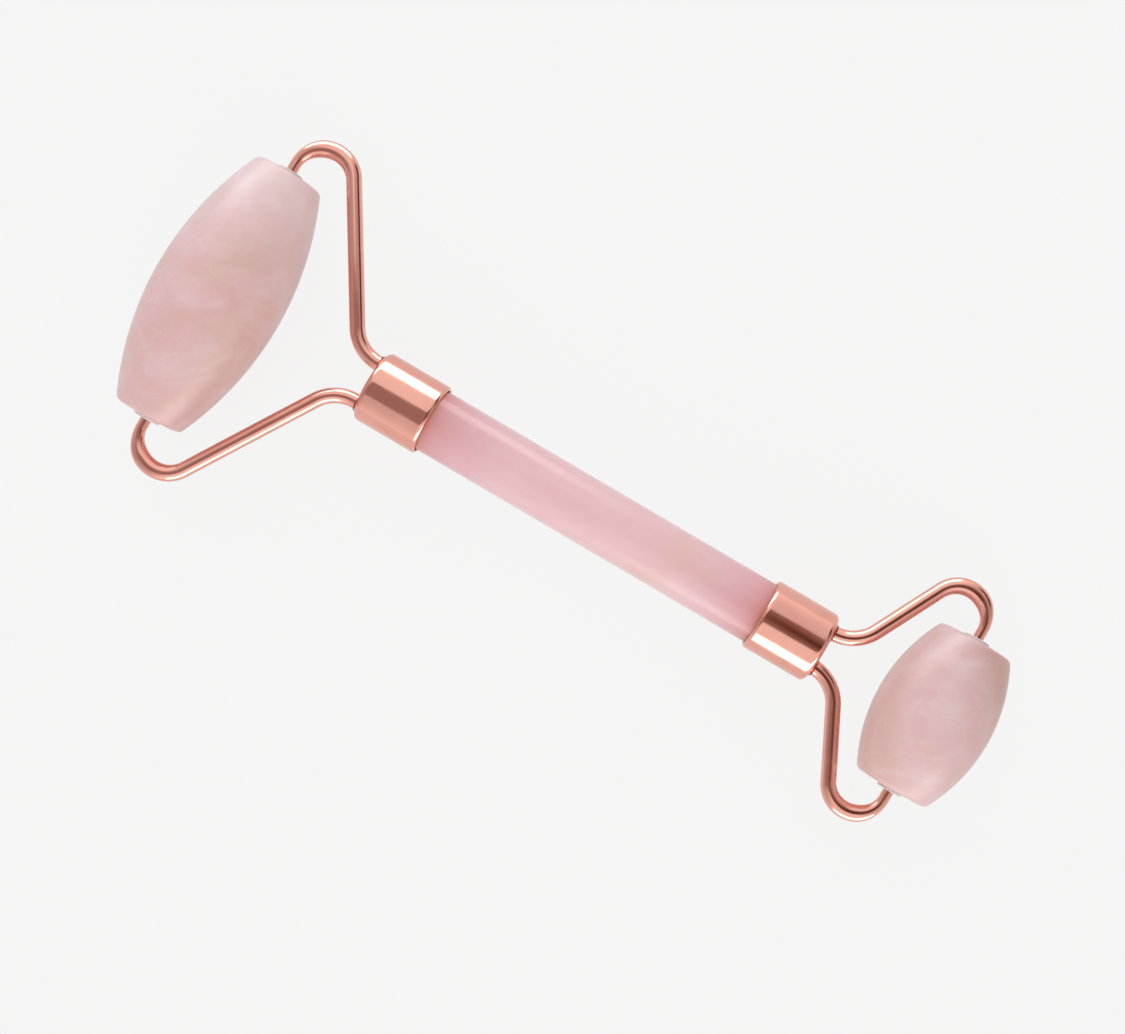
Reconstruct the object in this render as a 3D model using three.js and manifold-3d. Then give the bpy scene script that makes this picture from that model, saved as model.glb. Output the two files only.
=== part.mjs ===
// A two-ended face roller: a polished stone rod for a handle, a metal ferrule
// at each end, and in front of each ferrule a bent wire frame whose two arms
// carry a free-turning stone roller on nylon bushes.
//
// Millimetres. +X runs along the handle towards the small roller, +Y is the
// left-hand side and +Z is up, with both roller axles lying along Y. The
// origin is the centre of the bounding box, on the handle's own axis.

import * as THREE from 'three';
import { mergeVertices } from 'three/addons/utils/BufferGeometryUtils.js';
import Module from 'manifold-3d';

const wasm = await Module();
wasm.setup();

// ---- driving dimensions -------------------------------------------------

const TOTAL_LENGTH = 143.85;

const HANDLE_DIAMETER = 9.95;
const HANDLE_CHAMFER = 0.4;

const FERRULE_DIAMETER = 11.4;
const FERRULE_LENGTH = 10.7;
const FERRULE_WALL = 0.5;
const FERRULE_END_WALL = 0.6;
const FERRULE_CORNER = 0.9;
const FERRULE_LIP = 0.3;

const WIRE_DIAMETER = 2.4;
const PIN_DIAMETER = 1.7;
const PIN_DEPTH = 5;
const PIN_CHAMFER = 0.25;
const TAIL_DEPTH = 2.6;
const TAPER_START = 5.5;
const TAPER_END = 0.5;
const LOOP_SPREAD = 0.12;

const PLUG_THICKNESS = 2.2;
const BRAZE_DIAMETER = 3.3;
const BRAZE_HEIGHT = 0.6;

const BUSH_BORE = 1.9;
const BUSH_SLEEVE = 3.0;
const BUSH_DEPTH = 6;
const FLANGE_DIAMETER = 4.0;
const FLANGE_THICKNESS = 0.45;
const STONE_CORNER = 1.0;
const STONE_BORE = 3.1;

// Clearances: between neighbours that are fixed together, and at the ends.
const FIT_GAP = 0.08;
const FACE_GAP = 0.1;

// The two ends. A frame's reach runs from the ferrule's closed face to the
// axle; its angle is that of the straight arms to the handle's axis.
const LARGE = {
  name: 'large',
  facing: -1,
  closedFaceX: -35.345,
  stoneDiameter: 19.65,
  stoneEndDiameter: 10.55,
  stoneLength: 42.1,
  rootOffset: 3.32,
  rootStraight: 0.85,
  rootRadius: 6.3,
  armAngle: 58.4,
  loopRadius: 4.75,
};
const SMALL = {
  name: 'small',
  facing: 1,
  closedFaceX: 43.295,
  stoneDiameter: 18.15,
  stoneEndDiameter: 11.75,
  stoneLength: 25.45,
  rootOffset: 2.94,
  rootStraight: 0.1,
  rootRadius: 6.45,
  armAngle: 63.1,
  loopRadius: 4.5,
};

const ROUND_SIDES = 40;
const SMALL_SIDES = 24;
const WIRE_SIDES = 10;
const BEND_STEP = THREE.MathUtils.degToRad(10);

// ---- materials ----------------------------------------------------------

function material(colour, roughness, metalness) {
  return new THREE.MeshStandardMaterial({ color: colour, roughness, metalness });
}

const handleQuartz = () => material(0xe5b0ba, 0.25, 0);
const rollerQuartz = () => material(0xdec0be, 0.45, 0);
const roseGold = () => material(0xe09a84, 0.18, 1);
const nylon = () => material(0xe9e4e2, 0.4, 0);
const epoxy = () => material(0xd8c8a8, 0.3, 0);

// ---- shapes -------------------------------------------------------------

function point(x, y) {
  return new THREE.Vector2(x, y);
}

// Points of a quarter-circle corner or any arc, both ends included.
function arcPoints(centreX, centreY, radius, fromAngle, toAngle, steps) {
  const curve = new THREE.EllipseCurve(
    centreX, centreY, radius, radius, fromAngle, toAngle, toAngle < fromAngle);
  return curve.getPoints(steps);
}

// A solid of revolution about X: profile points are (radius, x).
function turnedAlongX(profile, sides) {
  return new THREE.LatheGeometry(profile, sides).rotateZ(-Math.PI / 2);
}

// The solid of a three.js geometry, for cutting.
function toSolid(geometry) {
  const bare = geometry.clone();
  bare.deleteAttribute('normal');
  bare.deleteAttribute('uv');
  const merged = mergeVertices(bare, 1e-5);
  const index = merged.index.array;
  const triangles = [];
  for (let i = 0; i < index.length; i += 3) {
    const [a, b, c] = index.slice(i, i + 3);
    if (a !== b && b !== c && c !== a) {
      triangles.push(a, b, c);
    }
  }
  return new wasm.Manifold(new wasm.Mesh({
    numProp: 3,
    vertProperties: new Float32Array(merged.attributes.position.array),
    triVerts: new Uint32Array(triangles),
  }));
}

function toGeometry(solid) {
  const mesh = solid.getMesh();
  const geometry = new THREE.BufferGeometry();
  const positions = new THREE.BufferAttribute(mesh.vertProperties, 3);
  geometry.setAttribute('position', positions);
  geometry.setIndex(new THREE.BufferAttribute(mesh.triVerts, 1));
  geometry.computeVertexNormals();
  return geometry;
}

// The polished stone rod, centred on the origin with its axis along X.
function handleRod(length) {
  const radius = HANDLE_DIAMETER / 2;
  const half = length / 2;
  return turnedAlongX([
    point(0, -half),
    point(radius - HANDLE_CHAMFER, -half),
    point(radius, -half + HANDLE_CHAMFER),
    point(radius, half - HANDLE_CHAMFER),
    point(radius - HANDLE_CHAMFER, half),
    point(0, half),
  ], ROUND_SIDES);
}

// A drawn metal cup. Its closed face is at x = 0 and faces +X, with a hole
// for each arm; its open rim is at x = -FERRULE_LENGTH.
function ferrule(end) {
  const outer = FERRULE_DIAMETER / 2;
  const inner = outer - FERRULE_WALL;
  const corner = outer - FERRULE_CORNER;
  const cup = turnedAlongX([
    point(0, -FERRULE_END_WALL),
    point(inner, -FERRULE_END_WALL),
    point(inner, -FERRULE_LENGTH),
    point(outer - FERRULE_LIP, -FERRULE_LENGTH),
    point(outer, -FERRULE_LENGTH + FERRULE_LIP),
    ...arcPoints(corner, -FERRULE_CORNER, FERRULE_CORNER, 0, Math.PI / 2, 5),
    point(0, 0),
  ], ROUND_SIDES);
  const holeRadius = WIRE_DIAMETER / 2 + FIT_GAP;
  const holeLength = FERRULE_END_WALL * 3;
  let solid = toSolid(cup);
  for (const side of [1, -1]) {
    const drill = new THREE.CylinderGeometry(
      holeRadius, holeRadius, holeLength, SMALL_SIDES);
    drill.rotateZ(-Math.PI / 2);
    drill.translate(0, side * end.rootOffset, 0);
    solid = solid.subtract(toSolid(drill));
  }
  return toGeometry(solid);
}

// The cast resin plug behind the closed face, which grips the arms' tails.
function pottingPlug(end) {
  const radius = FERRULE_DIAMETER / 2 - FERRULE_WALL - FACE_GAP;
  const outline = new THREE.Shape().absarc(0, 0, radius, 0, Math.PI * 2);
  for (const side of [1, -1]) {
    const hole = new THREE.Path();
    hole.absarc(0, side * end.rootOffset, WIRE_DIAMETER / 2 + FIT_GAP, 0, Math.PI * 2);
    outline.holes.push(hole);
  }
  const plug = new THREE.ExtrudeGeometry(outline, {
    depth: PLUG_THICKNESS,
    bevelEnabled: false,
    curveSegments: SMALL_SIDES,
  });
  plug.rotateY(Math.PI / 2);
  return plug.translate(-FERRULE_END_WALL - FACE_GAP - PLUG_THICKNESS, 0, 0);
}

// The bent centreline of one arm, in the XY plane: tail, root bend, straight
// arm, loop over the roller's end, and the axle pin pointing back inwards.
// Each stretch is listed with the number of steps it needs.
function armCentreline(end) {
  const angle = THREE.MathUtils.degToRad(end.armAngle);
  const reach = frameReach(end);
  const bendX = end.rootStraight + end.rootRadius * Math.sin(angle);
  const bendY = end.rootOffset + end.rootRadius * (1 - Math.cos(angle));
  const loopX = reach - end.loopRadius;
  const straight = (loopX - end.loopRadius * Math.sin(angle) - bendX) / Math.cos(angle);
  const loopY = bendY + straight * Math.sin(angle) - end.loopRadius * Math.cos(angle);
  const pinTip = end.stoneLength / 2 - PIN_DEPTH;

  const path = new THREE.Path();
  path.moveTo(-TAIL_DEPTH, end.rootOffset);
  path.lineTo(end.rootStraight, end.rootOffset);
  path.absarc(end.rootStraight, end.rootOffset + end.rootRadius, end.rootRadius,
    -Math.PI / 2, angle - Math.PI / 2, false);
  path.absarc(loopX, loopY, end.loopRadius, angle + Math.PI / 2, 0, true);
  path.lineTo(reach, pinTip);

  const stretches = [
    { length: TAIL_DEPTH + end.rootStraight, steps: 1 },
    { length: end.rootRadius * angle, steps: Math.round(angle / BEND_STEP) },
    { length: straight, steps: 1 },
    {
      length: end.loopRadius * (angle + Math.PI / 2),
      steps: Math.round((angle + Math.PI / 2) / BEND_STEP),
    },
    { length: loopY - pinTip, steps: 1 },
  ];
  return { path, stretches };
}

// One wire arm: the straight blank is turned down to the axle pin at its far
// end, then bent along the centreline. The loop's bend presses the wire a
// little wider and flatter, most of all at its middle.
function wireArm(end) {
  const { path, stretches } = armCentreline(end);
  const full = WIRE_DIAMETER / 2;
  const pin = PIN_DIAMETER / 2;
  const total = stretches.reduce((sum, stretch) => sum + stretch.length, 0);
  const loopEnd = total - stretches.at(-1).length;
  const loopStart = loopEnd - stretches.at(-2).length;
  const taperFrom = loopEnd - TAPER_START;
  const taperTo = loopEnd - TAPER_END;
  const radiusAt = (along) => {
    const share = (along - taperFrom) / (taperTo - taperFrom);
    return THREE.MathUtils.lerp(full, pin, THREE.MathUtils.clamp(share, 0, 1));
  };

  const profile = [point(0, 0), point(full, 0)];
  let along = 0;
  for (const { length, steps } of stretches) {
    for (let step = 1; step <= steps; step += 1) {
      const reached = along + length * step / steps;
      profile.push(point(radiusAt(reached), reached));
    }
    along += length;
  }
  profile.at(-1).y = total - PIN_CHAMFER;
  profile.push(point(pin - PIN_CHAMFER, total), point(0, total));

  const geometry = new THREE.LatheGeometry(profile, WIRE_SIDES);
  const positions = geometry.attributes.position;
  for (let i = 0; i < positions.count; i += 1) {
    const reached = positions.getY(i);
    const share = THREE.MathUtils.clamp(reached / total, 0, 1);
    const centre = path.getPointAt(share);
    const tangent = path.getTangentAt(share);
    const round = (reached - loopStart) / (loopEnd - loopStart);
    const spread = LOOP_SPREAD * Math.sin(Math.PI * THREE.MathUtils.clamp(round, 0, 1));
    const across = positions.getX(i) * (1 + spread);
    positions.setXYZ(i, centre.x + tangent.y * across, centre.y - tangent.x * across,
      positions.getZ(i) * (1 - spread / 2));
  }
  geometry.computeVertexNormals();
  return geometry;
}

// The ring of brazing metal round an arm where it leaves the closed face.
function brazeRing(end) {
  const inner = WIRE_DIAMETER / 2 + FIT_GAP;
  const outer = BRAZE_DIAMETER / 2;
  const ring = turnedAlongX([
    point(inner, FACE_GAP),
    point(outer, FACE_GAP),
    point(outer - 0.05, BRAZE_HEIGHT / 2),
    point(inner, BRAZE_HEIGHT),
    point(inner, FACE_GAP),
  ], SMALL_SIDES);
  return ring.translate(0, end.rootOffset, 0);
}

// The radius of the barrel arc through both end corners and the belly.
function barrelRadius(end) {
  const rise = (end.stoneDiameter - end.stoneEndDiameter) / 2;
  const half = end.stoneLength / 2;
  return (half * half + rise * rise) / (2 * rise);
}

// A barrel-shaped stone with its bore along Y.
function rollerStone(end) {
  const half = end.stoneLength / 2;
  const belly = end.stoneDiameter / 2;
  const edge = end.stoneEndDiameter / 2;
  const bore = STONE_BORE / 2;
  const flat = FLANGE_DIAMETER / 2 + 0.2;
  const arc = barrelRadius(end);
  const centre = belly - arc;
  const lean = Math.asin((half - STONE_CORNER / 2) / arc);
  return new THREE.LatheGeometry([
    point(bore, -half),
    point(flat, -half),
    point(edge - STONE_CORNER, -half),
    point(edge - STONE_CORNER * 0.35, -half + STONE_CORNER * 0.2),
    ...arcPoints(centre, 0, arc, -lean, lean, 14),
    point(edge - STONE_CORNER * 0.35, half - STONE_CORNER * 0.2),
    point(edge - STONE_CORNER, half),
    point(flat, half),
    point(bore, half),
    point(bore, -half),
  ], ROUND_SIDES);
}

// A flanged nylon bush, its flange lying on the stone's end face at y = 0 and
// its sleeve running down into the stone.
function flangedBush() {
  const bore = BUSH_BORE / 2;
  const sleeve = BUSH_SLEEVE / 2;
  const flange = FLANGE_DIAMETER / 2;
  return new THREE.LatheGeometry([
    point(bore, -BUSH_DEPTH),
    point(sleeve, -BUSH_DEPTH),
    point(sleeve, FACE_GAP),
    point(flange, FACE_GAP),
    point(flange, FACE_GAP + FLANGE_THICKNESS),
    point(bore, FACE_GAP + FLANGE_THICKNESS),
    point(bore, -BUSH_DEPTH),
  ], SMALL_SIDES);
}

// ---- assembly -----------------------------------------------------------

function piece(name, geometry, finish) {
  const mesh = new THREE.Mesh(geometry, finish);
  mesh.name = name;
  return mesh;
}

// From the ferrule's closed face to the axle.
function frameReach(end) {
  return TOTAL_LENGTH / 2 - end.stoneDiameter / 2 - Math.abs(end.closedFaceX);
}

// Everything at one end, built facing +X from the ferrule's closed face.
function endAssembly(end) {
  const group = new THREE.Group();
  group.add(piece(`${end.name}_ferrule`, ferrule(end), roseGold()));
  group.add(piece(`${end.name}_potting_plug`, pottingPlug(end), epoxy()));

  const axle = new THREE.Group();
  axle.position.x = frameReach(end);
  axle.add(piece(`${end.name}_stone`, rollerStone(end), rollerQuartz()));
  group.add(axle);

  for (const side of [1, -1]) {
    const hand = side * end.facing > 0 ? 'left' : 'right';
    const half = new THREE.Group();
    half.rotation.x = side > 0 ? 0 : Math.PI;
    half.add(piece(`${end.name}_arm_${hand}`, wireArm(end), roseGold()));
    half.add(piece(`${end.name}_braze_${hand}`, brazeRing(end), roseGold()));
    const bush = piece(`${end.name}_bush_${hand}`, flangedBush(), nylon());
    bush.position.set(frameReach(end), end.stoneLength / 2, 0);
    half.add(bush);
    group.add(half);
  }

  group.position.x = end.closedFaceX;
  group.rotation.z = end.facing > 0 ? 0 : Math.PI;
  return group;
}

const roller = new THREE.Group();
const rodInset = FERRULE_END_WALL + FACE_GAP + PLUG_THICKNESS + FACE_GAP;
const rodFrom = LARGE.closedFaceX + rodInset;
const rodTo = SMALL.closedFaceX - rodInset;
const rod = piece('handle_rod', handleRod(rodTo - rodFrom), handleQuartz());
rod.position.x = (rodFrom + rodTo) / 2;
roller.add(rod, endAssembly(LARGE), endAssembly(SMALL));

export default roller;
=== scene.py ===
"""A two-ended stone face roller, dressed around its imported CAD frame.

Metres throughout. +X runs along the handle to the small roller, +Y is its left
side and +Z is up. The sections follow the roller as it is put together.
"""

import math

import bpy
import numpy as np
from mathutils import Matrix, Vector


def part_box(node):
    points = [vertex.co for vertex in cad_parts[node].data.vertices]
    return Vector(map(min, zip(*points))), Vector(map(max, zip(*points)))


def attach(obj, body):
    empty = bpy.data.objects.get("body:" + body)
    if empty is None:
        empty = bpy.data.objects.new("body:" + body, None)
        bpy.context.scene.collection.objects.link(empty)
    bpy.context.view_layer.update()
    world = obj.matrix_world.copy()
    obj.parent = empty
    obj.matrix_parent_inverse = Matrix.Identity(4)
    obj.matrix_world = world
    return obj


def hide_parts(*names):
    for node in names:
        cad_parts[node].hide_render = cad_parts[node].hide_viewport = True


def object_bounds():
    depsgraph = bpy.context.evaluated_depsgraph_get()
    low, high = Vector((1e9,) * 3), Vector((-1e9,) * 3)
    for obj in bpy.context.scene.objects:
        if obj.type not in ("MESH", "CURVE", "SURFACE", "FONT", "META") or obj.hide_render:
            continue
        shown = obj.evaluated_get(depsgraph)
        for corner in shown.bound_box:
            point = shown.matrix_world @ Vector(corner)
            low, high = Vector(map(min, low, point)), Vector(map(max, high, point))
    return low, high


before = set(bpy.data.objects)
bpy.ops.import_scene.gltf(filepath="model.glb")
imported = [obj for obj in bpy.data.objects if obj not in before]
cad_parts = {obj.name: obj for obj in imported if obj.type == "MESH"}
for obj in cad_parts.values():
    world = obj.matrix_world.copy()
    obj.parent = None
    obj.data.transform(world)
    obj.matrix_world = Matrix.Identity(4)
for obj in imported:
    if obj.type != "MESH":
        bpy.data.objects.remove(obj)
cad_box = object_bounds()

# ---- handle rod ---------------------------------------------------------
# A rod of pink rose quartz, ground round and polished. It is glued into the
# ferrules, which hide its ends.

MM = 0.001
SHARP_EDGE = math.radians(40)
ROD_SIDES = 160
ROD_ROWS = 220
ROD_CHAMFER = 0.4 * MM
ROD_GRIND_WAVE = 0.02 * MM
ROD_WAVE_ALONG = 240
ROD_WAVE_START = 1.1
ROD_WAVE_TWIST = 60
QUARTZ_IOR = 1.54
QUARTZ_GLOW_DEPTH = 2.5 * MM
ROD_SPECULAR = 0.55
ROD_GLOW = 0.6
ROD_GLOW_COLOUR = (1.0, 0.6, 0.6)
ROD_ROUGHNESS = (0.22, 0.30)
ROD_CLOUD_STRETCH = (0.35, 1, 1)
ROD_CLOUDS = [
    (0.30, (0.865, 0.565, 0.59)),
    (0.50, (0.895, 0.605, 0.63)),
    (0.72, (0.92, 0.665, 0.68)),
]
ROD_TAN = (0.83, 0.57, 0.50)
ROD_TAN_SHARE = [(0.56, (0, 0, 0)), (0.72, (0.5, 0.5, 0.5))]
ROD_FLECK_SHARE = 0.015
# Painted shade: a ramp that darkens and warms the rod's colour within this depth of each ferrule
# rim.
RIM_SHADE_DEPTH = 15 * MM
RIM_PAINTED_SHADE = [
    (0.00, (0.82, 0.47, 0.38)),
    (0.08, (0.87, 0.62, 0.64)),
    (0.18, (0.89, 0.73, 0.74)),
    (0.40, (0.93, 0.85, 0.88)),
    (0.70, (0.97, 0.95, 0.97)),
    (1.00, (1.00, 1.00, 1.00)),
]


def swept_mesh(name, rings, around, along, joined=False):
    """A closed surface through a stack of rings.

    rings is an array of rows x columns x 3: every row is one closed ring, and
    a face joins each point to the next one round and to the next row. Open
    ends are closed with a fan to the middle of the end ring; where joined is
    true, the last row meets the first instead. around and along are the
    distances that the UV map takes at each column and row.
    """
    rows, columns, _ = rings.shape
    row_pairs = rows if joined else rows - 1
    i, j = np.meshgrid(np.arange(row_pairs), np.arange(columns), indexing="ij")
    i, j = i.ravel(), j.ravel()
    next_i, next_j = (i + 1) % rows, (j + 1) % columns
    quads = np.stack(
        [i * columns + j, i * columns + next_j, next_i * columns + next_j, next_i * columns + j],
        axis=1,
    )
    u = np.stack([around[j], around[j + 1], around[j + 1], around[j]], axis=1)
    v = np.stack([along[i], along[i], along[i + 1], along[i + 1]], axis=1)
    vertices = rings.reshape(-1, 3)
    faces = quads.tolist()
    uv = np.stack([u.ravel(), v.ravel()], axis=1)
    if not joined:
        ends = np.stack([rings[0].mean(axis=0), rings[-1].mean(axis=0)])
        first, last = len(vertices), len(vertices) + 1
        vertices = np.concatenate([vertices, ends])
        ring = np.arange(columns)
        after = (ring + 1) % columns
        top = (rows - 1) * columns
        low_fan = np.stack([np.full(columns, first), after, ring], axis=1)
        high_fan = np.stack([np.full(columns, last), top + ring, top + after], axis=1)
        faces += low_fan.tolist() + high_fan.tolist()
        low_u = np.stack([around[:-1], around[1:], around[:-1]], axis=1).ravel()
        high_u = np.stack([around[:-1], around[:-1], around[1:]], axis=1).ravel()
        low_v = np.full(3 * columns, along[0])
        high_v = np.full(3 * columns, along[rows - 1])
        uv = np.concatenate(
            [uv, np.stack([low_u, low_v], axis=1), np.stack([high_u, high_v], axis=1)])
    mesh = bpy.data.meshes.new(name)
    mesh.from_pydata(vertices.tolist(), [], faces)
    layer = mesh.uv_layers.new(name="surface")
    layer.data.foreach_set("uv", uv.astype(np.float32).ravel())
    mesh.polygons.foreach_set("use_smooth", np.ones(len(faces), bool))
    mesh.set_sharp_from_angle(angle=SHARP_EDGE)
    mesh.update()
    piece = bpy.data.objects.new(name, mesh)
    bpy.context.scene.collection.objects.link(piece)
    return piece


def turned(name, radius, height, sides, axis, centre, joined=False, wave=None):
    """A solid of revolution about the axis, 0 for x, 1 for y and 2 for z.

    Row i is a circle of radius[i], height[i] along the axis from centre. wave,
    where given, is added to the radius at each row and column. The profile
    runs up its outside, so that faces point outwards.
    """
    radius, height = np.asarray(radius), np.asarray(height)
    turn = np.linspace(0, 2 * math.pi, sides + 1)
    spread = radius[:, None] + (0 if wave is None else wave(height[:, None], turn[None, :-1]))
    side_a, side_b = np.roll(np.eye(3), -(axis + 1), axis=0)[:2]
    rings = (
        np.asarray(centre)
        + height[:, None, None] * np.eye(3)[axis]
        + spread[:, :, None] * np.cos(turn[:-1])[None, :, None] * side_a
        + spread[:, :, None] * np.sin(turn[:-1])[None, :, None] * side_b
    )
    steps = np.hypot(np.diff(radius, append=radius[0]), np.diff(height, append=height[0]))
    along = np.concatenate([[0], np.cumsum(steps)])
    return swept_mesh(name, rings, turn * radius.max(), along, joined)


def corner(centre_r, centre_h, size, start, end, steps=8, tall=None):
    """Radii and heights of an arc from start to end, in degrees.

    Each is the centre's plus size times the angle's cosine or sine; tall, where
    given, is the arc's size along the axis.
    """
    angle = np.radians(np.linspace(start, end, steps))
    return centre_r + size * np.cos(angle), centre_h + (tall or size) * np.sin(angle)


def material(name):
    """A new material whose node tree holds one Principled shader and its output."""
    made = bpy.data.materials.new(name)
    made.use_nodes = True
    tree = made.node_tree
    tree.nodes.clear()
    shader = tree.nodes.new("ShaderNodeBsdfPrincipled")
    output = tree.nodes.new("ShaderNodeOutputMaterial")
    tree.links.new(shader.outputs["BSDF"], output.inputs["Surface"])
    return made, tree, shader


def node(tree, kind, settings=None, **inputs):
    """A node of that kind, with its settings and its inputs set or linked.

    An input is given by its name, with _ for a space, or as _0, _1 and so on.
    """
    made = tree.nodes.new("ShaderNode" + kind)
    for key, value in (settings or {}).items():
        setattr(made, key, value)
    for key, value in inputs.items():
        socket = made.inputs[int(key[1:])] if key[0] == "_" else made.inputs[key.replace("_", " ")]
        if isinstance(value, bpy.types.NodeSocket):
            tree.links.new(value, socket)
        else:
            socket.default_value = value
    return made


def ramp(tree, factor, stops):
    """A colour ramp through stops of (position, colour)."""
    made = node(tree, "ValToRGB", Fac=factor)
    elements = made.color_ramp.elements
    while len(elements) < len(stops):
        elements.new(0.5)
    for element, (position, colour) in zip(elements, stops):
        element.position = position
        element.color = (*colour, 1)
    return made.outputs["Color"]


def mix_colour(tree, factor, first, second, blend="MIX"):
    """Two colours mixed by factor, each a socket or a fixed colour."""
    made = tree.nodes.new("ShaderNodeMix")
    made.data_type = "RGBA"
    made.blend_type = blend
    for socket, value in ((0, factor), (6, first), (7, second)):
        if isinstance(value, bpy.types.NodeSocket):
            tree.links.new(value, made.inputs[socket])
        elif socket == 0:
            made.inputs[0].default_value = value
        else:
            made.inputs[socket].default_value = (*value, 1)
    return made.outputs[2]


def rod_quartz(middle, half):
    """Polished translucent pink with lengthwise clouds and a few tan ones.

    A painted shade deepens the colour towards the ferrules, by its distance from the
    nearer rim. The bare length runs from middle - half to middle + half along x.
    """
    made, tree, shader = material("rod_rose_quartz")
    place = node(tree, "TexCoord").outputs["Object"]
    drawn_out = node(tree, "Mapping", Vector=place, Scale=ROD_CLOUD_STRETCH).outputs[0]
    clouds = node(tree, "TexNoise", Vector=drawn_out, Scale=120, Detail=4, Roughness=0.55)
    flecks = node(tree, "TexNoise", Vector=place, Scale=900, Detail=5, Roughness=0.6)
    cloudy = ramp(tree, clouds.outputs["Fac"], ROD_CLOUDS)
    earth = node(tree, "TexNoise", Vector=place, Scale=95, Detail=3, Roughness=0.5)
    tan_share = ramp(tree, earth.outputs["Fac"], ROD_TAN_SHARE)
    mottled = mix_colour(tree, tan_share, cloudy, ROD_TAN)
    fine = mix_colour(tree, ROD_FLECK_SHARE, mottled, flecks.outputs["Color"], "SOFT_LIGHT")
    along = node(tree, "SeparateXYZ", _0=place).outputs["X"]
    from_middle = node(tree, "Math", {"operation": "SUBTRACT"}, _0=along, _1=middle)
    off = node(tree, "Math", {"operation": "ABSOLUTE"}, _0=from_middle.outputs[0])
    from_rim = node(tree, "MapRange", Value=off.outputs[0], From_Min=half,
                    From_Max=half - RIM_SHADE_DEPTH, To_Min=0, To_Max=1)
    # Painted shade towards each ferrule rim, multiplied into the rod's colour.
    colour = mix_colour(tree, 1.0, fine, ramp(tree, from_rim.outputs[0], RIM_PAINTED_SHADE), "MULTIPLY")
    tree.links.new(colour, shader.inputs["Base Color"])
    polish = node(tree, "MapRange", Value=clouds.outputs["Fac"], To_Min=ROD_ROUGHNESS[0],
                  To_Max=ROD_ROUGHNESS[1])
    tree.links.new(polish.outputs[0], shader.inputs["Roughness"])
    bump = node(tree, "Bump", Height=flecks.outputs["Fac"], Strength=0.01, Distance=0.01 * MM)
    tree.links.new(bump.outputs[0], shader.inputs["Normal"])
    shader.inputs["IOR"].default_value = QUARTZ_IOR
    shader.inputs["Specular IOR Level"].default_value = ROD_SPECULAR
    shader.inputs["Subsurface Weight"].default_value = ROD_GLOW
    shader.inputs["Subsurface Radius"].default_value = ROD_GLOW_COLOUR
    shader.inputs["Subsurface Scale"].default_value = QUARTZ_GLOW_DEPTH
    return made


def rod_grind(height, turn):
    """The grinding's unevenness, from 0 down to minus ROD_GRIND_WAVE.

    It is a sine of the height times a cosine of twice the turn, which twists
    slowly along the rod.
    """
    slow = np.sin(height * ROD_WAVE_ALONG + ROD_WAVE_START)
    lobes = np.cos(2 * turn + height * ROD_WAVE_TWIST)
    return ROD_GRIND_WAVE * (slow * lobes - 1) / 2


rod_low, rod_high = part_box("handle_rod")
rod_radius = (rod_high.z - rod_low.z) / 2
rod_half = (rod_high.x - rod_low.x) / 2
rod_centre = ((rod_low.x + rod_high.x) / 2, 0, 0)
rod_heights = np.linspace(-rod_half + ROD_CHAMFER, rod_half - ROD_CHAMFER, ROD_ROWS)
rod_end = rod_radius - ROD_CHAMFER
rod = turned(
    "quartz_rod",
    np.concatenate([[rod_end], np.full(ROD_ROWS, rod_radius), [rod_end]]),
    np.concatenate([[-rod_half], rod_heights, [rod_half]]),
    ROD_SIDES, 0, rod_centre, wave=rod_grind,
)
bare_from, bare_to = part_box("large_ferrule")[1].x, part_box("small_ferrule")[0].x
rod.data.materials.append(rod_quartz((bare_from + bare_to) / 2, (bare_to - bare_from) / 2))
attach(rod, "handle_assembly")
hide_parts("handle_rod")

# ---- ferrules -----------------------------------------------------------
# Drawn brass cups with rose gold plating over a bright polish. The closed end
# has a rounded corner and the open rim a turned bevel; each is glued on.

FERRULE_SIDES = 160
FERRULE_WALL = 0.5 * MM
FERRULE_END_WALL = 0.6 * MM
FERRULE_CORNER = 0.9 * MM
RIM_BEVEL = 0.36 * MM
RIM_BEVEL_LENGTH = 0.58 * MM
RIM_ROUND = 0.12 * MM
CUP_INSIDE_CORNER = 0.3 * MM
CUP_POLE = 0.2 * MM
PLATING = [
    (0.35, (0.85, 0.40, 0.325)),
    (0.65, (0.88, 0.44, 0.355)),
]
PLATING_ROUGHNESS = (0.10, 0.16)
CUP_LINES = (4000, 400, 1)
CUP_LINE_STRENGTH = 0.25


def rose_gold(name, line_scale, line_strength):
    """Bright rose gold plating: faint polishing lines and hand marks.

    The lines follow the UV map, so they run along a wire and round a cup.
    """
    made, tree, shader = material(name)
    lines_at = node(tree, "UVMap", {"uv_map": "surface"}).outputs["UV"]
    place = node(tree, "TexCoord").outputs["Object"]
    stretched = node(tree, "Mapping", Vector=lines_at, Scale=line_scale).outputs[0]
    lines = node(tree, "TexNoise", Vector=stretched, Scale=1, Detail=3, Roughness=0.6)
    smudges = node(tree, "TexNoise", Vector=place, Scale=260, Detail=3, Roughness=0.5)
    plating = ramp(tree, smudges.outputs["Fac"], PLATING)
    tree.links.new(plating, shader.inputs["Base Color"])
    polish = node(tree, "MapRange", Value=smudges.outputs["Fac"], From_Min=0.3, From_Max=0.7,
                  To_Min=PLATING_ROUGHNESS[0], To_Max=PLATING_ROUGHNESS[1])
    tree.links.new(polish.outputs[0], shader.inputs["Roughness"])
    bump = node(tree, "Bump", Height=lines.outputs["Fac"], Strength=line_strength,
                Distance=0.01 * MM)
    tree.links.new(bump.outputs[0], shader.inputs["Normal"])
    shader.inputs["Metallic"].default_value = 1.0
    return made


cup_metal = rose_gold("cup_rose_gold", CUP_LINES, CUP_LINE_STRENGTH)


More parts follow.
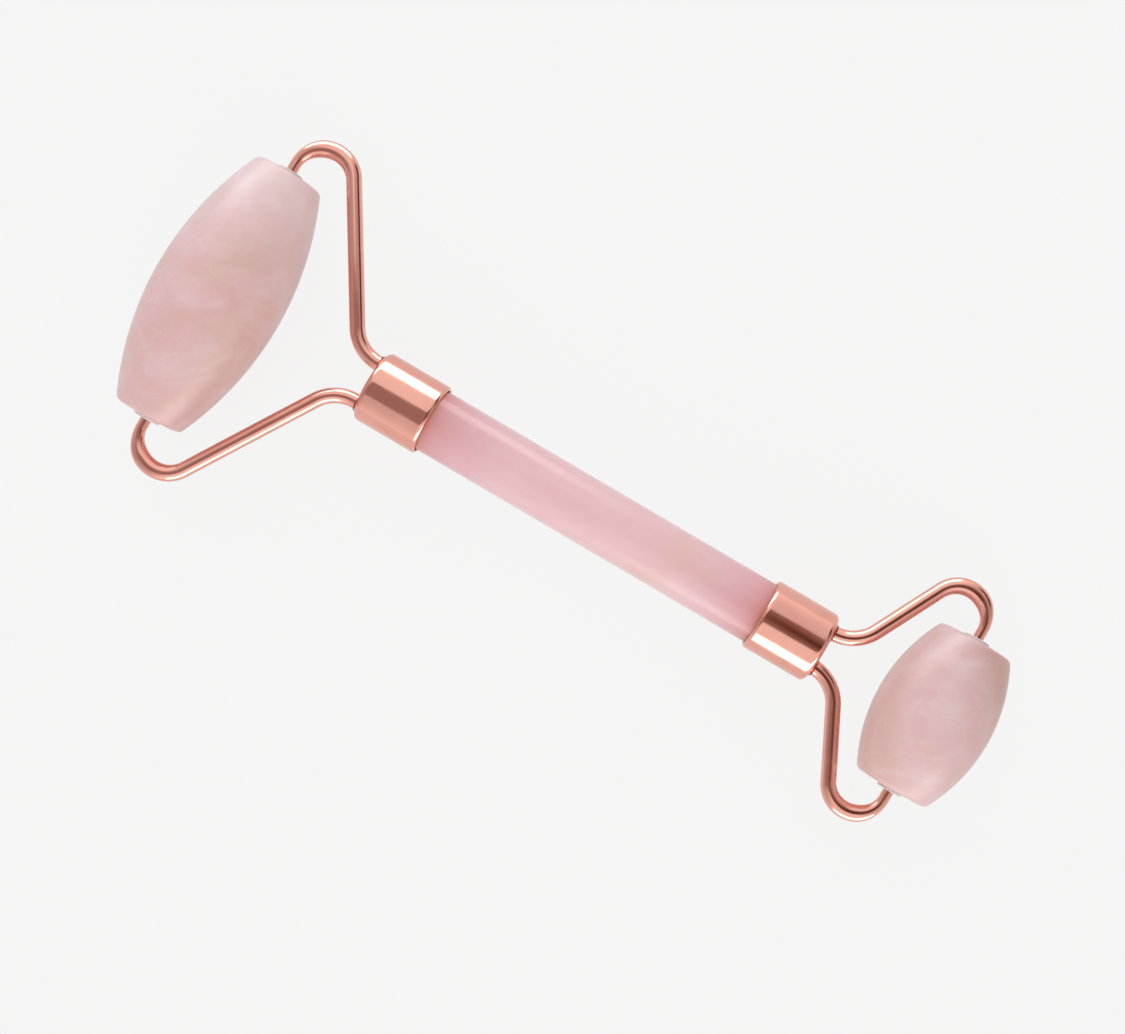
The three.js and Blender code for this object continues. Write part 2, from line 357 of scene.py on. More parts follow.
def ferrule_cup(name, cad_node, facing):
    """A cup as a closed profile turned about the handle's axis.

    From the inside bottom the profile runs out along the bore to the rim,
    round the bevelled rim, back along the outside wall, round the corner to
    the closed face and in to the axis. Heights are measured from the closed
    face, and turned over for the cup that faces the other way. Both ends stop
    at CUP_POLE and are closed with a fan.
    """
    low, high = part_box(cad_node)
    outer = (high.z - low.z) / 2
    inner = outer - FERRULE_WALL
    length = high.x - low.x
    rim = -length
    rim_r, rim_h = corner(outer - RIM_BEVEL, rim + RIM_BEVEL_LENGTH, RIM_BEVEL, -78, 0, 12,
                          tall=RIM_BEVEL_LENGTH)
    lip_r, lip_h = corner(inner + RIM_ROUND, rim + RIM_ROUND, RIM_ROUND, 180, 270, 5)
    end_r, end_h = corner(outer - FERRULE_CORNER, -FERRULE_CORNER, FERRULE_CORNER, 0, 90, 16)
    wall = np.linspace(rim + RIM_BEVEL_LENGTH, -FERRULE_CORNER, 40)[1:-1]
    flat = np.linspace(outer - FERRULE_CORNER, CUP_POLE, 12)[1:]
    inside_r = [CUP_POLE, inner - CUP_INSIDE_CORNER, inner, inner]
    inside_h = [-FERRULE_END_WALL, -FERRULE_END_WALL, -FERRULE_END_WALL - CUP_INSIDE_CORNER, rim / 2]
    radius = np.concatenate([inside_r, lip_r, rim_r, np.full(len(wall), outer), end_r, flat])
    height = np.concatenate([inside_h, lip_h, rim_h, wall, end_h, np.zeros(len(flat))])
    closed_x = high.x if facing > 0 else low.x
    if facing < 0:
        radius, height = radius[::-1], -height[::-1]
    cup = turned(name, radius, height, FERRULE_SIDES, 0, (closed_x, 0, 0))
    cup.data.materials.append(cup_metal)
    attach(cup, "handle_assembly")
    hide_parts(cad_node)
    return closed_x


# The large arms lean out 0.12 degrees less than the CAD frame's flat-sided wire,
# so that round wire with its spread loop stays inside the same box.
ENDS = {
    "large": {"facing": -1, "root_straight": 0.85 * MM, "root_radius": 6.3 * MM,
              "arm_angle": math.radians(58.28), "loop_radius": 4.75 * MM},
    "small": {"facing": 1, "root_straight": 0.1 * MM, "root_radius": 6.45 * MM,
              "arm_angle": math.radians(63.1), "loop_radius": 4.5 * MM},
}
for end, shape in ENDS.items():
    shape["closed_x"] = ferrule_cup(f"{end}_ferrule_cup", f"{end}_ferrule", shape["facing"])

# ---- potting plugs ------------------------------------------------------
# Clear amber resin, poured into each ferrule and set hard. It holds the tails
# of the two arms and the end of the rod, and is seen only in a cut.

RESIN_CLOUDS = [
    (0.3, (0.62, 0.50, 0.30)),
    (0.7, (0.76, 0.66, 0.45)),
]
RESIN_ROUGHNESS = 0.25
RESIN_GLOW = 0.3
RESIN_GLOW_DEPTH = 1.5 * MM


def cast_resin():
    """Amber resin with a few cloudy streaks."""
    made, tree, shader = material("cast_resin")
    place = node(tree, "TexCoord").outputs["Object"]
    streaks = node(tree, "TexNoise", Vector=place, Scale=500, Detail=3)
    amber = ramp(tree, streaks.outputs["Fac"], RESIN_CLOUDS)
    tree.links.new(amber, shader.inputs["Base Color"])
    shader.inputs["Roughness"].default_value = RESIN_ROUGHNESS
    shader.inputs["Subsurface Weight"].default_value = RESIN_GLOW
    shader.inputs["Subsurface Scale"].default_value = RESIN_GLOW_DEPTH
    return made


resin = cast_resin()
for end in ENDS:
    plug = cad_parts[f"{end}_potting_plug"]
    plug.data.materials.clear()
    plug.data.materials.append(resin)

# ---- wire arms ----------------------------------------------------------
# Hard drawn wire with the same plating. Each arm leaves the ferrule, bends out,
# runs straight, loops over the roller's end and is turned down to an axle pin.

WIRE_SIDES = 48
WIRE_STEP = 0.12 * MM
WIRE_RADIUS = 1.2 * MM
PIN_RADIUS = 0.85 * MM
PIN_DEPTH = 5.0 * MM
PIN_CHAMFER = 0.25 * MM
TAIL_DEPTH = 2.6 * MM
TAPER_START = 5.5 * MM
TAPER_END = 0.5 * MM
LOOP_SPREAD = 0.12
HEADING_SAMPLES = 20001
WIRE_LINES = (1500, 60, 1)
WIRE_LINE_STRENGTH = 0.3

wire_metal = rose_gold("wire_rose_gold", WIRE_LINES, WIRE_LINE_STRENGTH)


def arm_centreline(shape, root_offset, reach, pin_tip):
    """Points, headings and distances along one arm, and where its parts meet.

    x is measured outwards from the closed face. The heading turns at 1/radius
    through the root bend and the loop, and stays constant on the straights;
    the points are the running integral of its cosine and sine. The long
    straight is as long as it takes for the loop to end on the roller's axis.
    """
    angle, root, loop = shape["arm_angle"], shape["root_radius"], shape["loop_radius"]
    bend_x = shape["root_straight"] + root * math.sin(angle)
    bend_y = root_offset + root * (1 - math.cos(angle))
    straight = (reach - loop * (1 + math.sin(angle)) - bend_x) / math.cos(angle)
    loop_y = bend_y + straight * math.sin(angle) - loop * math.cos(angle)
    lengths = [TAIL_DEPTH + shape["root_straight"], root * angle, straight,
               loop * (angle + math.pi / 2), loop_y - pin_tip]
    turns = [0, angle, 0, -(angle + math.pi / 2), 0]
    marks = np.concatenate([[0], np.cumsum(lengths)])
    headings = np.concatenate([[0], np.cumsum(turns)])
    along = np.unique(np.concatenate(
        [np.linspace(a, b, max(2, int((b - a) / WIRE_STEP))) for a, b in zip(marks, marks[1:])]))
    fine = np.linspace(0, marks[-1], HEADING_SAMPLES)
    heading = np.interp(fine, marks, headings)
    mid = (heading[1:] + heading[:-1]) / 2
    step = np.diff(fine)
    x = np.concatenate([[0], np.cumsum(np.cos(mid) * step)]) - TAIL_DEPTH
    y = np.concatenate([[0], np.cumsum(np.sin(mid) * step)]) + root_offset
    places = np.stack([np.interp(along, fine, x), np.interp(along, fine, y)], axis=1)
    return places, np.interp(along, marks, headings), along, marks


def wire_arm(name, cad_node, shape, side, root_offset, reach, pin_tip):
    """A tube about the centreline, of the wire's radius, narrowing to the pin.

    A ring is wide x cos a x across + tall x sin a x up, with across square to
    the heading in the arms' plane. Wide and tall are the radius, except that
    the bending has spread the wire a little round the loop. The pin's tip is
    chamfered.
    """
    places, heading, along, marks = arm_centreline(shape, root_offset, reach, pin_tip)
    loop_start, loop_end = marks[-3:-1]
    share = np.clip((along - (loop_end - TAPER_START)) / (TAPER_START - TAPER_END), 0, 1)
    smooth = share * share * (3 - 2 * share)
    radius = WIRE_RADIUS + (PIN_RADIUS - WIRE_RADIUS) * smooth
    radius = np.minimum(radius, PIN_RADIUS - PIN_CHAMFER + (marks[-1] - along))
    round_loop = np.clip((along - loop_start) / (loop_end - loop_start), 0, 1)
    spread = LOOP_SPREAD * np.sin(math.pi * round_loop)
    wide, tall = radius * (1 + spread), radius * (1 - spread / 2)
    turn = np.linspace(0, 2 * math.pi, WIRE_SIDES + 1)
    across = np.stack([np.sin(heading), -np.cos(heading), np.zeros(len(heading))], axis=1)
    up = np.array([0, 0, 1.0])
    centre = np.concatenate([places, np.zeros((len(places), 1))], axis=1)
    rings = (centre[:, None, :]
             + wide[:, None, None] * np.cos(turn[:-1])[None, :, None] * across[:, None, :]
             + tall[:, None, None] * np.sin(turn[:-1])[None, :, None] * up)
    facing = shape["facing"]
    rings = rings * np.array([facing, side * facing, side])
    rings = rings + np.array([shape["closed_x"], 0, 0])
    arm = swept_mesh(name, rings, turn * WIRE_RADIUS, along)
    arm.data.materials.append(wire_metal)
    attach(arm, "handle_assembly")
    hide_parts(cad_node)


for end, shape in ENDS.items():
    stone_low, stone_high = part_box(f"{end}_stone")
    reach = abs((stone_low.x + stone_high.x) / 2 - shape["closed_x"])
    for hand, hand_side in (("left", 1), ("right", -1)):
        ring_low, ring_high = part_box(f"{end}_braze_{hand}")
        root_offset = abs(ring_low.y + ring_high.y) / 2
        wire_arm(f"{end}_wire_{hand}", f"{end}_arm_{hand}", shape, hand_side * shape["facing"],
                 root_offset, reach, stone_high.y - PIN_DEPTH)

# ---- braze rings --------------------------------------------------------
# Where an arm leaves the closed face a little brazing metal has run round it.
# It drew up the wire while it was hot. It is coloured a dark copper red.

BRAZE_SIDES = 64
BRAZE_HOLLOW = 1.25
BRAZE_GAP = 0.02 * MM
BRAZE_LIP = 0.08 * MM
BRAZE_DARK_REDS = [
    (0.35, (0.22, 0.05, 0.04)),
    (0.65, (0.42, 0.13, 0.10)),
]
BRAZE_ROUGHNESS = 0.36


def braze_metal():
    """Dark copper-red brazing metal, darker and lighter in patches."""
    made, tree, shader = material("braze_metal")
    place = node(tree, "TexCoord").outputs["Object"]
    stains = node(tree, "TexNoise", Vector=place, Scale=900, Detail=3, Roughness=0.6)
    red = ramp(tree, stains.outputs["Fac"], BRAZE_DARK_REDS)
    tree.links.new(red, shader.inputs["Base Color"])
    shader.inputs["Metallic"].default_value = 1.0
    shader.inputs["Roughness"].default_value = BRAZE_ROUGHNESS
    return made


red_braze = braze_metal()


def braze_ring(end, hand, shape):
    """A ring whose outside is a hollow curve from the face up to the wire.

    Its radius falls from the foot to a thin lip on the wire, as what is left
    of the height to the power BRAZE_HOLLOW.
    """
    low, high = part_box(f"{end}_braze_{hand}")
    foot = (high.z - low.z) / 2
    hole = WIRE_RADIUS + BRAZE_GAP
    tall = high.x - low.x
    share = np.linspace(0, 1, 12)
    hollow = hole + BRAZE_LIP + (foot - hole - BRAZE_LIP) * (1 - share) ** BRAZE_HOLLOW
    radius = np.concatenate([[hole], hollow, [hole]])
    height = np.concatenate([[0], share * tall, [tall]])
    if shape["facing"] < 0:
        radius, height = radius[::-1], tall - height[::-1]
    centre = (low.x, (low.y + high.y) / 2, 0)
    ring = turned(f"{end}_braze_bead_{hand}", radius, height, BRAZE_SIDES, 0, centre, joined=True)
    ring.data.materials.append(red_braze)
    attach(ring, "handle_assembly")
    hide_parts(f"{end}_braze_{hand}")


for end, shape in ENDS.items():
    for hand in ("left", "right"):
        braze_ring(end, hand, shape)

# ---- roller stones ------------------------------------------------------
# Barrel-shaped rollers of pale rose quartz, ground by hand and tumbled to a
# satin polish, with a drilled bore along the axle.

STONE_SIDES = 192
STONE_ROWS = 240
STONE_CORNER = 1.0 * MM
STONE_BORE = 1.55 * MM
STONE_UNEVEN = 0.05 * MM
STONE_GROUND_FROM = 0.9
STONE_ROUGHNESS = (0.28, 0.38)
STONE_GLOW = 0.45
STONE_GLOW_COLOUR = (1.0, 0.65, 0.6)
SLANT_TURN = (0.2, 0.25, -0.5)
SLANT_STRETCH = (0.4, 1, 1)
STONE_CLOUDS = [
    (0.32, (0.80, 0.565, 0.54)),
    (0.44, (0.82, 0.58, 0.565)),
    (0.56, (0.85, 0.60, 0.62)),
    (0.68, (0.89, 0.69, 0.72)),
]
STONE_MILK = (0.90, 0.76, 0.76)
MILK_SHARE = [(0.50, (0, 0, 0)), (0.75, (0.5, 0.5, 0.5))]
STONE_CRACK = (0.92, 0.82, 0.80)
CRACK_SHARE = [(0.494, (0, 0, 0)), (0.503, (0.34, 0.34, 0.34)), (0.512, (0, 0, 0))]
# A paler colour laid over the half of a stone towards +Y: partly the stone's own paler side, partly
# a painted highlight.
STONE_PALE_HIGHLIGHT = (0.93, 0.84, 0.86)
PALE_HIGHLIGHT_FROM, PALE_HIGHLIGHT_TO = 0.1, 0.75
# How far across a stone its tints reach. They are partly its own tan and partly painted shade on the
# side away from the light.
TINT_SHADE_REACH = 0.6
# Each stone's tints run from lighter to darker across it. This is partly its own tan and partly
# painted shade on the side away from the light.
STONES = {
    "large": {"end_radius": 5.275 * MM, "wave_seed": 3, "cloud_shift": (0.01, 0.02, 0.0),
              "tint_shade_way": (1, 0), "pale_highlight_share": 0.38, "tints_and_shades": [
                  (0.12, (0.98, 0.92, 0.92)),
                  (0.45, (0.98, 0.94, 0.93)),
                  (0.80, (0.89, 0.81, 0.755))]},
    "small": {"end_radius": 5.875 * MM, "wave_seed": 7, "cloud_shift": (0.05, 0.01, 0.02),
              "tint_shade_way": (0.87, 0.5), "pale_highlight_share": 0.0, "tints_and_shades": [
                  (0.10, (0.98, 0.95, 0.91)),
                  (0.40, (0.97, 0.95, 0.95)),
                  (0.62, (0.91, 0.88, 0.86)),
                  (0.88, (0.77, 0.68, 0.615))]},
}


def roller_quartz(end, looks):
    """Cloudy pale pink with tan clouds, milky wisps and healed cracks.

    The tints colour it from one side to the other, along its given way in the XY
    plane: partly the stone's own tan, partly painted shade on the side away from
    the light. The half towards +Y turns paler, by up to its pale share: partly a
    paler stone, partly a painted highlight.
    """
    made, tree, shader = material(f"{end}_rose_quartz")
    place = node(tree, "TexCoord").outputs["Object"]
    moved = node(tree, "Mapping", Vector=place, Location=looks["cloud_shift"]).outputs[0]
    turned_round = node(tree, "Mapping", Vector=moved, Rotation=SLANT_TURN)
    slant = node(tree, "Mapping", Vector=turned_round.outputs[0], Scale=SLANT_STRETCH)
    clouds = node(tree, "TexNoise", Vector=moved, Scale=95, Detail=5, Roughness=0.55,
                  Distortion=0.6)
    wisps = node(tree, "TexNoise", Vector=slant.outputs[0], Scale=210, Detail=6, Roughness=0.6,
                 Distortion=1.2)
    cracks = node(tree, "TexNoise", Vector=slant.outputs[0], Scale=420, Detail=4, Roughness=0.5)
    body = ramp(tree, clouds.outputs["Fac"], STONE_CLOUDS)
    milk = ramp(tree, wisps.outputs["Fac"], MILK_SHARE)
    milky = mix_colour(tree, milk, body, STONE_MILK)
    line = ramp(tree, cracks.outputs["Fac"], CRACK_SHARE)
    veined = mix_colour(tree, line, milky, STONE_CRACK)
    low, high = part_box(f"{end}_stone")
    tint_shade_way = looks["tint_shade_way"]
    middle = (low.x + high.x) / 2 * tint_shade_way[0]
    reach = (high.x - low.x) / 2 * tint_shade_way[0] + high.y * abs(tint_shade_way[1]) * TINT_SHADE_REACH
    side = node(tree, "VectorMath", {"operation": "DOT_PRODUCT"}, _0=place, _1=(*tint_shade_way, 0))
    across = node(tree, "MapRange", Value=side.outputs["Value"], From_Min=middle - reach,
                  From_Max=middle + reach)
    # Painted shade, partly the stone's own tan: the colour darkens across towards one side.
    tint_and_shade = ramp(tree, across.outputs[0], looks["tints_and_shades"])
    tinted_and_shaded = mix_colour(tree, 1.0, veined, tint_and_shade, "MULTIPLY")
    along_axle = node(tree, "SeparateXYZ", _0=place).outputs["Y"]
    # Painted highlight, partly paler stone: the half towards +Y is whitened.
    pale = node(tree, "MapRange", Value=along_axle, From_Min=PALE_HIGHLIGHT_FROM * high.y,
                From_Max=PALE_HIGHLIGHT_TO * high.y, To_Min=0, To_Max=looks["pale_highlight_share"])
    colour = mix_colour(tree, pale.outputs[0], tinted_and_shaded, STONE_PALE_HIGHLIGHT)
    tree.links.new(colour, shader.inputs["Base Color"])
    satin = node(tree, "MapRange", Value=wisps.outputs["Fac"], To_Min=STONE_ROUGHNESS[0],
                 To_Max=STONE_ROUGHNESS[1])
    tree.links.new(satin.outputs[0], shader.inputs["Roughness"])
    grind = node(tree, "TexNoise", Vector=place, Scale=2500, Detail=3, Roughness=0.6)
    bump = node(tree, "Bump", Height=grind.outputs["Fac"], Strength=0.10, Distance=0.02 * MM)
    tree.links.new(bump.outputs[0], shader.inputs["Normal"])
    shader.inputs["IOR"].default_value = QUARTZ_IOR
    shader.inputs["Subsurface Weight"].default_value = STONE_GLOW
    shader.inputs["Subsurface Radius"].default_value = STONE_GLOW_COLOUR
    shader.inputs["Subsurface Scale"].default_value = QUARTZ_GLOW_DEPTH
    return made


def roller_stone(end, looks):
    """A barrel: a circular arc through the belly and both end edges, turned.

    Slow waves of a few hundredths of a millimetre, each a sine of the height
    and a whole number of turns, stand for the hand grinding. The profile
    closes on itself through the bore.
    """
    low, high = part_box(f"{end}_stone")
    belly = (high.z - low.z) / 2
    half = (high.y - low.y) / 2
    edge = looks["end_radius"]
    rise = belly - edge
    arc = (half * half + rise * rise) / (2 * rise)
    tip = belly - arc
    # The corner's circle touches the end face and lies inside the barrel arc.
    corner_h = half - STONE_CORNER
    corner_r = tip + math.sqrt((arc - STONE_CORNER) ** 2 - corner_h ** 2)
    touch = math.degrees(math.atan2(corner_h, corner_r - tip))
    up_r, up_h = corner(corner_r, corner_h, STONE_CORNER, touch, 90, 12)
    down_r, down_h = up_r[::-1], -up_h[::-1]
    sweep = np.radians(np.linspace(-touch, touch, STONE_ROWS))[1:-1]
    face = np.linspace(STONE_BORE, down_r[0], 14)[:-1]
    radius = np.concatenate([face, down_r, tip + arc * np.cos(sweep), up_r, face[::-1]])
    height = np.concatenate([np.full(len(face), -half), down_h, arc * np.sin(sweep), up_h,
                             np.full(len(face), half)])
    rng = np.random.default_rng(looks["wave_seed"])
    phase = rng.uniform(0, 2 * math.pi, 3)

    def hand_ground(tall, turn):
        """Waves on the barrel that fade out over the end faces and the bore."""
        untouched = edge * STONE_GROUND_FROM
        outside = np.clip((radius - untouched) / (edge - untouched), 0, 1)[:, None]
        waves = (np.sin(3 * turn + 90 * tall + phase[0]) + np.sin(5 * turn - 150 * tall + phase[1])
                 + np.sin(2 * turn + 260 * tall + phase[2])) / 3
        return STONE_UNEVEN * (waves - 1) / 2 * outside

    stone = turned(f"{end}_roller_stone", radius, height, STONE_SIDES, 1,
                   ((low.x + high.x) / 2, 0, 0), joined=True, wave=hand_ground)
    stone.data.materials.append(roller_quartz(end, looks))
    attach(stone, f"{end}_roller")
    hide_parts(f"{end}_stone")


for end, looks in STONES.items():
    roller_stone(end, looks)

# ---- bushes -------------------------------------------------------------
# Natural white nylon bushes, pressed into the bore. Their thin flanges keep
# the stone off the bend of the wire.

BUSH_SIDES = 72
FLANGE_ROUND = 0.12 * MM
SLEEVE_RADIUS = 1.5 * MM
BUSH_BORE = 0.95 * MM
BORE_CHAMFER = 0.1 * MM
FLANGE_THICKNESS = 0.45 * MM
NYLON_HAZE = [
    (0.3, (0.74, 0.70, 0.69)),
    (0.7, (0.82, 0.79, 0.78)),
]
NYLON_ROUGHNESS = 0.35
NYLON_GLOW = 0.6
NYLON_GLOW_DEPTH = 1.0 * MM


def natural_nylon():
    """Milky nylon that lets some light through."""
    made, tree, shader = material("natural_nylon")
    place = node(tree, "TexCoord").outputs["Object"]
    haze = node(tree, "TexNoise", Vector=place, Scale=1200, Detail=3)
    milk = ramp(tree, haze.outputs["Fac"], NYLON_HAZE)
    tree.links.new(milk, shader.inputs["Base Color"])
    shader.inputs["Roughness"].default_value = NYLON_ROUGHNESS
    shader.inputs["Subsurface Weight"].default_value = NYLON_GLOW
    shader.inputs["Subsurface Scale"].default_value = NYLON_GLOW_DEPTH
    return made


nylon = natural_nylon()


def bush(end, hand, side):
    """A flanged sleeve, its closed profile turned about the axle.

    The profile runs from the sleeve's foot up its outside, under the flange,
    round its edge and over its top, and back down the bore.
    """
    low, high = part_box(f"{end}_bush_{hand}")
    flange = (high.z - low.z) / 2
    top = high.y if side > 0 else -low.y
    under = top - FLANGE_THICKNESS
    foot = low.y if side > 0 else -high.y
    low_r, low_h = corner(flange - FLANGE_ROUND, under + FLANGE_ROUND, FLANGE_ROUND, -90, 0, 5)
    top_r, top_h = corner(flange - FLANGE_ROUND, top - FLANGE_ROUND, FLANGE_ROUND, 0, 90, 5)
    radius = np.concatenate([[BUSH_BORE, SLEEVE_RADIUS, SLEEVE_RADIUS], low_r, top_r,
                             [BUSH_BORE + BORE_CHAMFER, BUSH_BORE]])
    height = np.concatenate([[foot, foot, under], low_h, top_h, [top, top - BORE_CHAMFER]])
    if side < 0:
        radius, height = radius[::-1], -height[::-1]
    centre = ((low.x + high.x) / 2, 0, 0)
    piece = turned(f"{end}_nylon_bush_{hand}", radius, height, BUSH_SIDES, 1, centre, joined=True)
    piece.data.materials.append(nylon)
    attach(piece, f"{end}_roller")
    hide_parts(f"{end}_bush_{hand}")


for end in ENDS:
    bush(end, "left", 1)
    bush(end, "right", -1)

# ---- floor, light and camera --------------------------------------------
# A matt white table top that glows, a strip light on either side, a soft lamp and
# a dark card overhead, and a room with dim walls. Each lamp is either for the
# shine or for the soft light, so that bright edges and pale stone are set apart.

FLOOR_HALF = 6.0
FLOOR_WHITE = 0.08
FLOOR_ROUGHNESS = 0.9
FLOOR_SPECULAR = 0.1
FLOOR_GLOW = 0.565
FLOOR_GLOW_SEEN = 0.845
FLOOR_GLOW_MIRRORED = 0.20
VIEW_TURN = math.radians(30.42)
CAMERA_HEIGHT = 0.250
CAMERA_X = 12.195 * MM
CAMERA_Y = -2.6 * MM
AIM_X = -0.455 * MM
LENS = 53.04
SENSOR_WIDTH = 36
VIEW_WIDTH = 0.1697
STRIP_DISTANCE = 0.36
STRIP_SHIFT = 0.05
STRIP_SIZE = (0.46, 0.22)
STRIP_SHINE = {"above": 2.5, "below": 2.25}
STRIP_SOFT = {"above": 1.4, "below": 1.3}
CEILING_SIZE = (0.40, 0.16)
CEILING_HEIGHT = 0.249
CEILING_SOFT = 0.6
CARD_HEIGHT = 0.252
CARD_HALF_LENGTH = 0.223
CARD_HALF_WIDTH = 0.092
CARD_MIDDLE = (-0.017, -0.012)
CARD_DARKEST = (0.085, -0.035)
CARD_FADE = 0.15
CARD_SHADES = [
    (0.07, (0.05, 0.015, 0.010)),
    (0.33, (0.23, 0.13, 0.10)),
    (1.00, (0.37, 0.28, 0.27)),
]
WALL_SHADES = [
    (0.00, (0.46, 0.45, 0.45)),
    (0.12, (0.58, 0.57, 0.57)),
    (0.50, (0.70, 0.69, 0.69)),
    (0.75, (1.00, 0.99, 0.98)),
]
DOORWAY_COLOUR = (0.10, 0.04, 0.03)
DOORWAY_BEARING = (0.38, 0.42)
DOORWAY_RISE = (0.32, 0.26)
DOORWAY_FLAT_SHARE = 0.6
BACKDROP_WHITE = (0.91, 0.91, 0.91)
HORIZON_LIFT = 0.25
HORIZON_LIFT_END = 0.5

# The view's own right and up, on the table.
right = np.array([math.cos(VIEW_TURN), math.sin(VIEW_TURN), 0])
upward = np.array([-math.sin(VIEW_TURN), math.cos(VIEW_TURN), 0])


def flat_sheet(name, middle, half_right, half_up, height):
    """A level rectangle: middle plus or minus half_right and half_up."""
    corners = [middle + a * half_right * right + b * half_up * upward + np.array([0, 0, height])
               for a, b in ((-1, -1), (1, -1), (1, 1), (-1, 1))]
    mesh = bpy.data.meshes.new(name)
    mesh.from_pydata([tuple(c) for c in corners], [], [(0, 1, 2, 3)])
    sheet = bpy.data.objects.new(name, mesh)
    bpy.context.scene.collection.objects.link(sheet)
    return sheet


floor_z = cad_box[0].z
table = flat_sheet("table_top", np.zeros(3), FLOOR_HALF, FLOOR_HALF, floor_z)
white, tree, shader = material("table_white")
shader.inputs["Base Color"].default_value = (FLOOR_WHITE, FLOOR_WHITE, FLOOR_WHITE, 1)
shader.inputs["Roughness"].default_value = FLOOR_ROUGHNESS
shader.inputs["Specular IOR Level"].default_value = FLOOR_SPECULAR
shader.inputs["Emission Color"].default_value = (1, 1, 1, 1)
# The table looks brighter than the light it gives the roller, and a little
# brighter in the roller's gloss than in its soft shading.
path = node(tree, "LightPath").outputs
seen = node(tree, "MapRange", Value=path["Is Camera Ray"], To_Min=FLOOR_GLOW,
            To_Max=FLOOR_GLOW_SEEN)
mirrored = node(tree, "MapRange", Value=path["Is Glossy Ray"], To_Min=0,
                To_Max=FLOOR_GLOW_MIRRORED)
lit = node(tree, "Math", _0=seen.outputs[0], _1=mirrored.outputs[0])
tree.links.new(lit.outputs[0], shader.inputs["Emission Strength"])
table.data.materials.append(white)

card = flat_sheet("camera_card", CARD_MIDDLE[0] * right + CARD_MIDDLE[1] * upward,
                  CARD_HALF_LENGTH, CARD_HALF_WIDTH, CARD_HEIGHT)
card.visible_camera = False
brown, tree, shader = material("card_brown")
darkest = -(CARD_DARKEST[0] * right + CARD_DARKEST[1] * upward) / CARD_FADE
from_darkest = node(tree, "Mapping", Vector=node(tree, "TexCoord").outputs["Object"],
                    Location=(darkest[0], darkest[1], 0), Scale=(1 / CARD_FADE, 1 / CARD_FADE, 0))
away = node(tree, "VectorMath", {"operation": "LENGTH"}, _0=from_darkest.outputs[0])
shade = ramp(tree, away.outputs["Value"], CARD_SHADES)
shader.inputs["Base Color"].default_value = (0, 0, 0, 1)
shader.inputs["Specular IOR Level"].default_value = 0
tree.links.new(shade, shader.inputs["Emission Color"])
shader.inputs["Emission Strength"].default_value = 1.0
card.data.materials.append(brown)


def lamp(name, size, place, turn, radiance, matt):
    """A rectangular lamp of that radiance: matt for soft light, else for shine.

    Its power is the radiance times pi times its area.
    """
    data = bpy.data.lights.new(name, "AREA")
    data.shape = "RECTANGLE"
    data.size, data.size_y = size
    data.energy = radiance * math.pi * size[0] * size[1]
    made = bpy.data.objects.new(name, data)
    made.location = tuple(place)
    made.rotation_euler = turn
    made.visible_camera = False
    made.visible_glossy = not matt
    made.visible_diffuse = matt
    bpy.context.scene.collection.objects.link(made)


for name, side in (("above", 1), ("below", -1)):
    foot = side * STRIP_DISTANCE * upward - side * STRIP_SHIFT * right
    middle = foot + np.array([0, 0, floor_z + STRIP_SIZE[1] / 2])
    turn = (math.pi / 2, 0, VIEW_TURN + (0 if side < 0 else math.pi))
    lamp(f"strip_{name}_shine", STRIP_SIZE, middle, turn, STRIP_SHINE[name], False)
    lamp(f"strip_{name}_soft", STRIP_SIZE, middle, turn, STRIP_SOFT[name], True)
lamp("ceiling_soft", CEILING_SIZE, (0, 0, CEILING_HEIGHT), (0, 0, VIEW_TURN), CEILING_SOFT, True)

world = bpy.data.worlds.new("studio")
bpy.context.scene.world = world
world.use_nodes = True
sky = world.node_tree
sky.nodes.clear()
heading = node(sky, "TexCoord").outputs["Generated"]


def sky_sum(operation, first, second=0.0):
    """One sum in the sky's node tree."""
    return node(sky, "Math", {"operation": operation}, _0=first, _1=second).outputs[0]


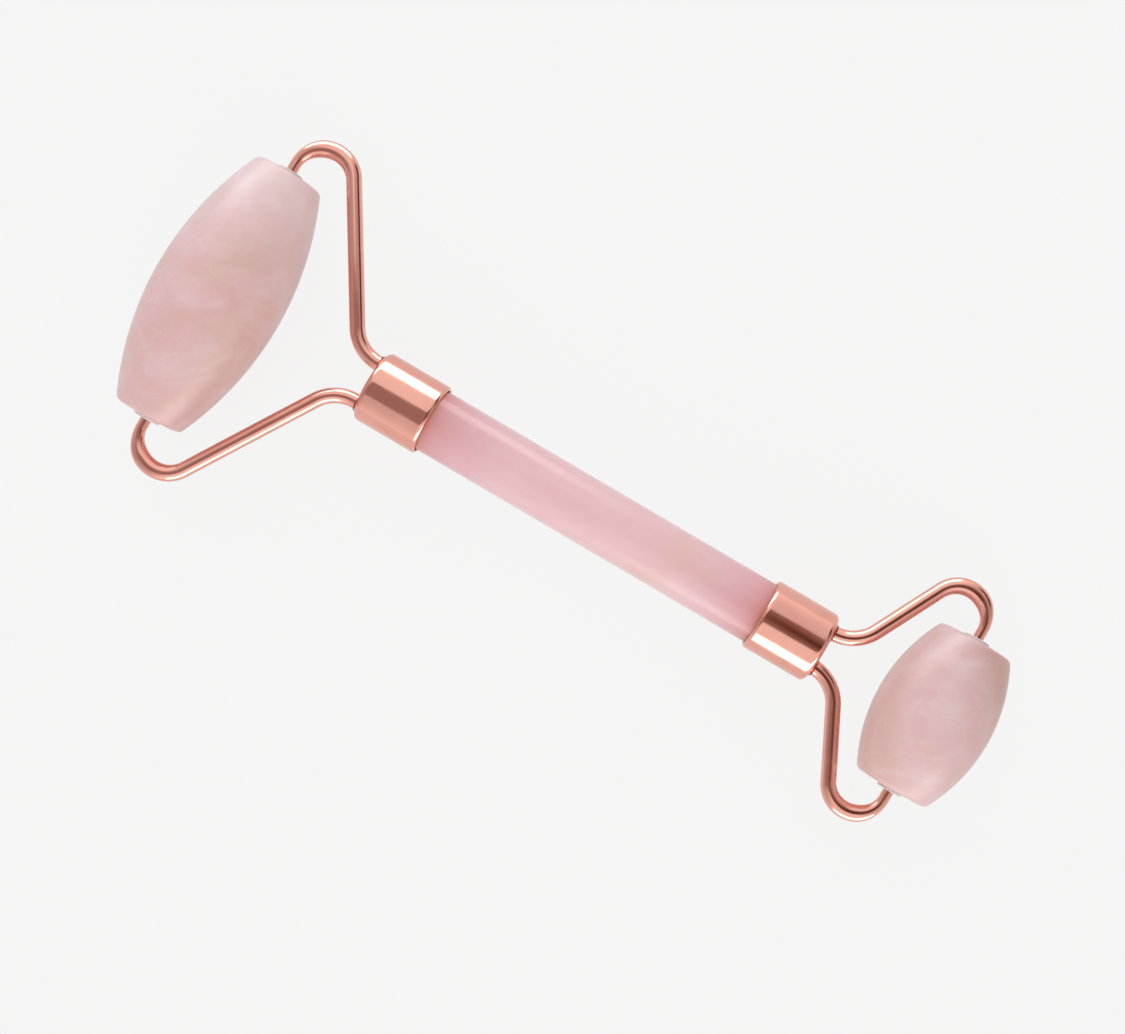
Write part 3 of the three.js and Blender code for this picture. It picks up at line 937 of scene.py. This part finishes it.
def patch(value, middle, half):
    """1 about the middle, falling smoothly to 0 at half to either side."""
    off = sky_sum("ABSOLUTE", sky_sum("SUBTRACT", value, middle))
    return node(sky, "MapRange", {"interpolation_type": "SMOOTHSTEP"}, Value=off,
                From_Min=DOORWAY_FLAT_SHARE * half, From_Max=half, To_Min=1,
                To_Max=0).outputs[0]


lean_right = node(sky, "VectorMath", {"operation": "DOT_PRODUCT"}, _0=heading, _1=tuple(right))
lean_up = node(sky, "VectorMath", {"operation": "DOT_PRODUCT"}, _0=heading, _1=tuple(upward))
bearing = sky_sum("ARCTAN2", lean_up.outputs["Value"], lean_right.outputs["Value"])
to_strips = sky_sum("POWER", sky_sum("ABSOLUTE", sky_sum("SINE", bearing)), 2.0)
walls = ramp(sky, to_strips, WALL_SHADES)
rise = node(sky, "SeparateXYZ", _0=heading).outputs["Z"]
doorway = sky_sum("MULTIPLY", patch(bearing, *DOORWAY_BEARING), patch(rise, *DOORWAY_RISE))
room = mix_colour(sky, doorway, walls, DOORWAY_COLOUR)
# What is looked at directly is a plain backdrop; the room is there for its light.
looked_at = node(sky, "LightPath").outputs["Is Camera Ray"]
backdrop = mix_colour(sky, looked_at, room, BACKDROP_WHITE)
low_light = node(sky, "MapRange", Value=rise, From_Min=0, From_Max=HORIZON_LIFT_END,
                 To_Min=HORIZON_LIFT, To_Max=0)
lift = sky_sum("MULTIPLY", low_light.outputs[0], sky_sum("SUBTRACT", 1.0, looked_at))
glow = node(sky, "Background", Color=backdrop, Strength=sky_sum("ADD", lift, 1.0))
sky.links.new(glow.outputs[0], node(sky, "OutputWorld").inputs["Surface"])

lens = bpy.data.cameras.new("camera")
lens.lens = LENS
lens.sensor_width = SENSOR_WIDTH
# The camera looks straight down from beside the middle of what it frames; the
# shift is that step, in widths of the view at the height of the handle.
aside = AIM_X - CAMERA_X
lens.shift_x = aside * math.cos(VIEW_TURN) / VIEW_WIDTH
lens.shift_y = -aside * math.sin(VIEW_TURN) / VIEW_WIDTH
camera = bpy.data.objects.new("camera", lens)
camera.location = (CAMERA_X, CAMERA_Y, CAMERA_HEIGHT)
camera.rotation_euler = (0, 0, VIEW_TURN)
bpy.context.scene.collection.objects.link(camera)
bpy.context.scene.camera = camera
bpy.context.scene.view_settings.view_transform = "Standard"
